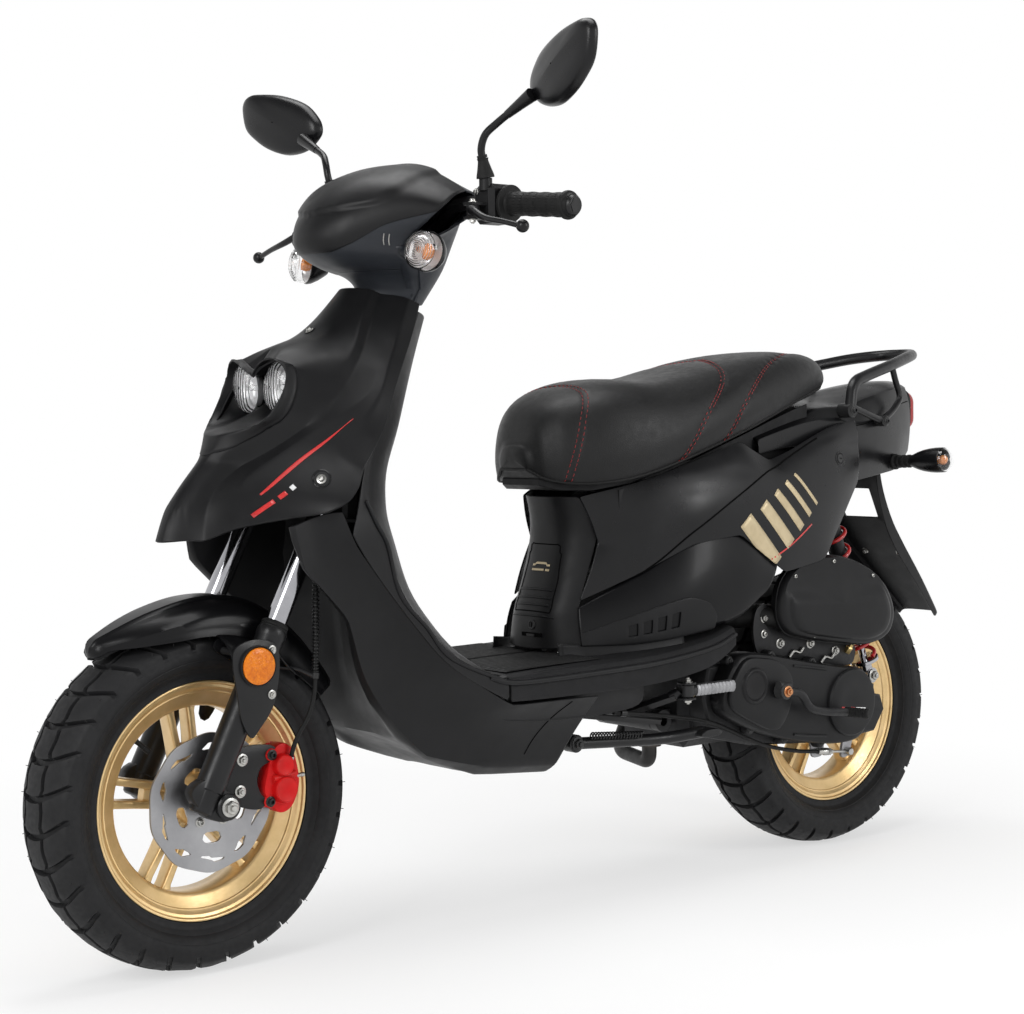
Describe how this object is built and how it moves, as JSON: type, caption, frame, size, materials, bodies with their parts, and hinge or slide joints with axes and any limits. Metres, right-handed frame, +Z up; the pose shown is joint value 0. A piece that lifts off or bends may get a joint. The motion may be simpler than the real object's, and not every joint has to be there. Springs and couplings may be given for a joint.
{
  "type": "moped scooter",
  "caption": "Step-through moped scooter with steering fork, sprung swinging power unit, cast wheels, long hinged seat, mirrors, lamps, side stand and grab rail.",
  "frame": {"origin": "on the ground under the middle of the overall box", "axes": "+X is the rider's left, +Y points to the rear, +Z is up"},
  "size_m": [0.848, 1.8165, 1.291],
  "materials": {
    "paint": "matt black",
    "gloss": "gloss black",
    "rubber": "matt",
    "tyre": "matt",
    "steel": "brushed",
    "chrome": "polished",
    "gold": "gold painted cast alloy",
    "alloy": "satin",
    "frame": "satin black",
    "vinyl": "grained",
    "lens": "clear",
    "redlens": "red lens",
    "redpaint": "red"
  },
  "bodies": {
    "chassis": {"main_frame": "frame", "front_apron": "paint", "headlight_unit": "lens", "leg_shield": "paint", "floorboard": "paint", "belly_pan": "paint", "pillar_cover": "paint", "side_panel_left": "paint", "side_panel_right": "paint", "side_trim_left": "gloss", "side_trim_right": "gloss", "tail_cover": "paint", "tail_light": "redlens", "rear_mudguard": "paint", "rear_signal_left": "paint", "rear_signal_right": "paint", "grab_rail": "frame", "fuel_tank": "paint"},
    "seat": {"seat_cushion": "vinyl", "seat_base": "paint"},
    "stand": {"side_stand": "frame"},
    "peg_left": {"footpeg_left": "alloy"},
    "peg_right": {"footpeg_right": "alloy"},
    "steering": {"steering_stem": "frame", "handlebar": "frame", "handlebar_cover_front": "paint", "handlebar_cover_rear": "paint", "front_signal_left": "lens", "front_signal_right": "lens", "switch_pod_left": "paint", "switch_pod_right": "paint", "grip_left": "rubber", "fork_tube_left": "chrome", "fork_tube_right": "chrome"},
    "throttle": {"throttle_grip": "rubber"},
    "lever_left": {"brake_lever_left": "paint"},
    "lever_right": {"brake_lever_right": "paint"},
    "horn": {"horn_button": "paint"},
    "turn_switch": {"signal_switch": "paint"},
    "starter": {"starter_button": "paint"},
    "mirror_arm_left": {"mirror_left": "paint"},
    "mirror_arm_right": {"mirror_right": "paint"},
    "fork_lower": {"fork_slider_left": "frame", "fork_slider_right": "frame", "front_mudguard": "gloss", "brake_caliper": "redpaint", "front_axle": "steel"},
    "front_wheel": {"front_tyre": "tyre", "front_rim": "gold", "brake_disc": "steel"},
    "power_unit": {"engine_case": "alloy", "cvt_cover": "paint", "airbox": "paint", "muffler": "frame"},
    "kick": {"kick_lever": "frame"},
    "rear_wheel": {"rear_tyre": "tyre", "rear_rim": "gold"},
    "shock_upper": {"shock_body": "alloy", "shock_spring": "redpaint"},
    "shock_lower": {"shock_rod": "steel"}
  },
  "joints": [
    {"name": "steering_turn", "type": "hinge", "parent": "chassis", "child": "steering", "pos_m": [0, -0.39661, 0.7731], "axis": [0, 0.454, 0.891], "range_deg": [-30, 30]},
    {"name": "fork_travel", "type": "slide", "parent": "steering", "child": "fork_lower", "axis": [0, 0.454, 0.891], "range_m": [-0.03, 0.05], "stiffness_N_per_m": 14000, "springref_m": -0.0195},
    {"name": "front_wheel_spin", "type": "hinge", "parent": "fork_lower", "child": "front_wheel", "pos_m": [0, -0.669, 0.2385], "axis": [1, 0, 0], "continuous": true},
    {"name": "power_unit_swing", "type": "hinge", "parent": "chassis", "child": "power_unit", "pos_m": [0, 0.171, 0.265], "axis": [1, 0, 0], "range_deg": [-4, 4.5], "stiffness_Nm_per_rad": 3600, "springref_deg": -2.29},
    {"name": "rear_wheel_spin", "type": "hinge", "parent": "power_unit", "child": "rear_wheel", "pos_m": [0, 0.609, 0.2425], "axis": [1, 0, 0], "continuous": true},
    {"name": "kick_turn", "type": "hinge", "parent": "power_unit", "child": "kick", "pos_m": [0.165, 0.351, 0.306], "axis": [1, 0, 0], "range_deg": [-55, 0], "stiffness_Nm_per_rad": 2.5, "springref_deg": 20.05},
    {"name": "shock_pivot", "type": "hinge", "parent": "chassis", "child": "shock_upper", "pos_m": [0.096, 0.536, 0.61], "axis": [1, 0, 0], "range_deg": [-1.72, 1.91]},
    {"name": "shock_travel", "type": "slide", "parent": "shock_upper", "child": "shock_lower", "axis": [0, -0.3344, 0.9424], "range_m": [-0.0326, 0.03661], "deforming": ["shock_spring"]},
    {"name": "seat_lid", "type": "hinge", "parent": "chassis", "child": "seat", "pos_m": [0, -0.057, 0.65], "axis": [1, 0, 0], "range_deg": [0, 65]},
    {"name": "stand_swing", "type": "hinge", "parent": "chassis", "child": "stand", "pos_m": [0.092, -0.041, 0.2545], "axis": [0.9707, 0, 0.2402], "range_deg": [-100, 0], "stiffness_Nm_per_rad": 4, "springref_deg": 28.65},
    {"name": "peg_left_fold", "type": "hinge", "parent": "chassis", "child": "peg_left", "pos_m": [0.166, 0.137, 0.326], "axis": [0, 0, 1], "range_deg": [-80, 0]},
    {"name": "peg_right_fold", "type": "hinge", "parent": "chassis", "child": "peg_right", "pos_m": [-0.166, 0.137, 0.326], "axis": [0, 0, 1], "range_deg": [0, 80]},
    {"name": "throttle_turn", "type": "hinge", "parent": "steering", "child": "throttle", "pos_m": [-0.27, -0.2504, 1.0572], "axis": [-0.9893, 0.1108, -0.095], "range_deg": [0, 80], "stiffness_Nm_per_rad": 0.5},
    {"name": "lever_left_pull", "type": "hinge", "parent": "steering", "child": "lever_left", "pos_m": [0.19, -0.303, 1.052], "axis": [0, 0, 1], "range_deg": [0, 18], "stiffness_Nm_per_rad": 3},
    {"name": "lever_right_pull", "type": "hinge", "parent": "steering", "child": "lever_right", "pos_m": [-0.19, -0.303, 1.052], "axis": [0, 0, -1], "range_deg": [0, 18], "stiffness_Nm_per_rad": 3},
    {"name": "horn_press", "type": "slide", "parent": "steering", "child": "horn", "axis": [0, -1, 0], "range_m": [0, 0.002], "stiffness_N_per_m": 800},
    {"name": "signal_slide", "type": "slide", "parent": "steering", "child": "turn_switch", "axis": [1, 0, 0], "range_m": [-0.003, 0.003]},
    {"name": "starter_press", "type": "slide", "parent": "steering", "child": "starter", "axis": [0, -1, 0], "range_m": [0, 0.002], "stiffness_N_per_m": 800},
    {"name": "mirror_left_swivel", "type": "hinge", "parent": "steering", "child": "mirror_arm_left", "pos_m": [0.191, -0.2797, 1.0995], "axis": [0, 0, 1], "range_deg": [-25, 25]},
    {"name": "mirror_right_swivel", "type": "hinge", "parent": "steering", "child": "mirror_arm_right", "pos_m": [-0.191, -0.2797, 1.0995], "axis": [0, 0, 1], "range_deg": [-25, 25]}
  ],
  "couplings": [
    {"joint": "shock_pivot", "follows": "power_unit_swing", "ratio": 0.37961},
    {"joint": "shock_travel", "follows": "power_unit_swing", "m_per_rad": 0.45978}
  ]
}
